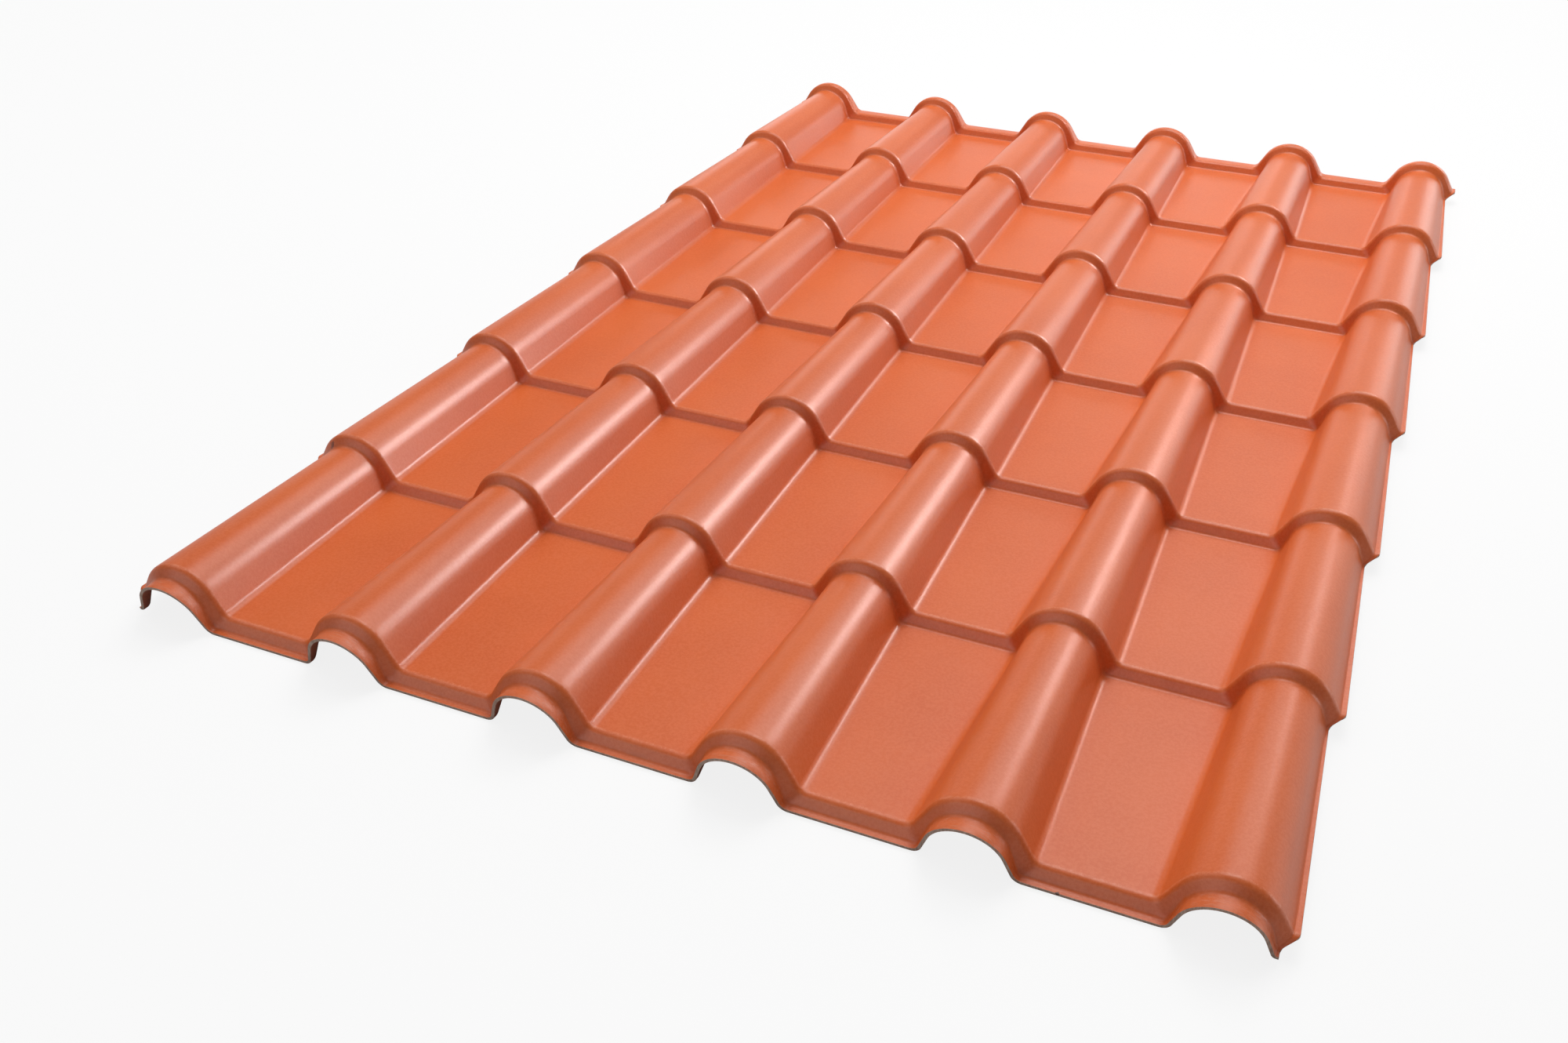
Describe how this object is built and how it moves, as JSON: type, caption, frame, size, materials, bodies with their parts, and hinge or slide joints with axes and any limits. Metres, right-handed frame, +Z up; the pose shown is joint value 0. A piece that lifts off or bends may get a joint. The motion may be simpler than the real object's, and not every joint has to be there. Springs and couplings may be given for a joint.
{
  "type": "synthetic resin roofing sheet",
  "caption": "Moulded resin roofing sheet shaped like rows of clay roll tiles: half-round rolls, flat pans between them, and a raised step at the nose of each tile row.",
  "frame": {"origin": "middle of the rectangle that the sheet covers, on the level floor that it lies on", "axes": "+X across the rolls, +Y along the rolls from the front edge, which is the lower edge on a roof, to the back edge, +Z up out of the weathered face"},
  "size_m": [0.886, 1.3502, 0.047],
  "materials": {
    "terracotta_resin": "satin moulded resin skin with a very fine grain, grey core at the cut edges"
  },
  "bodies": {
    "root": {"roofing_sheet": "terracotta_resin"}
  },
  "joints": []
}
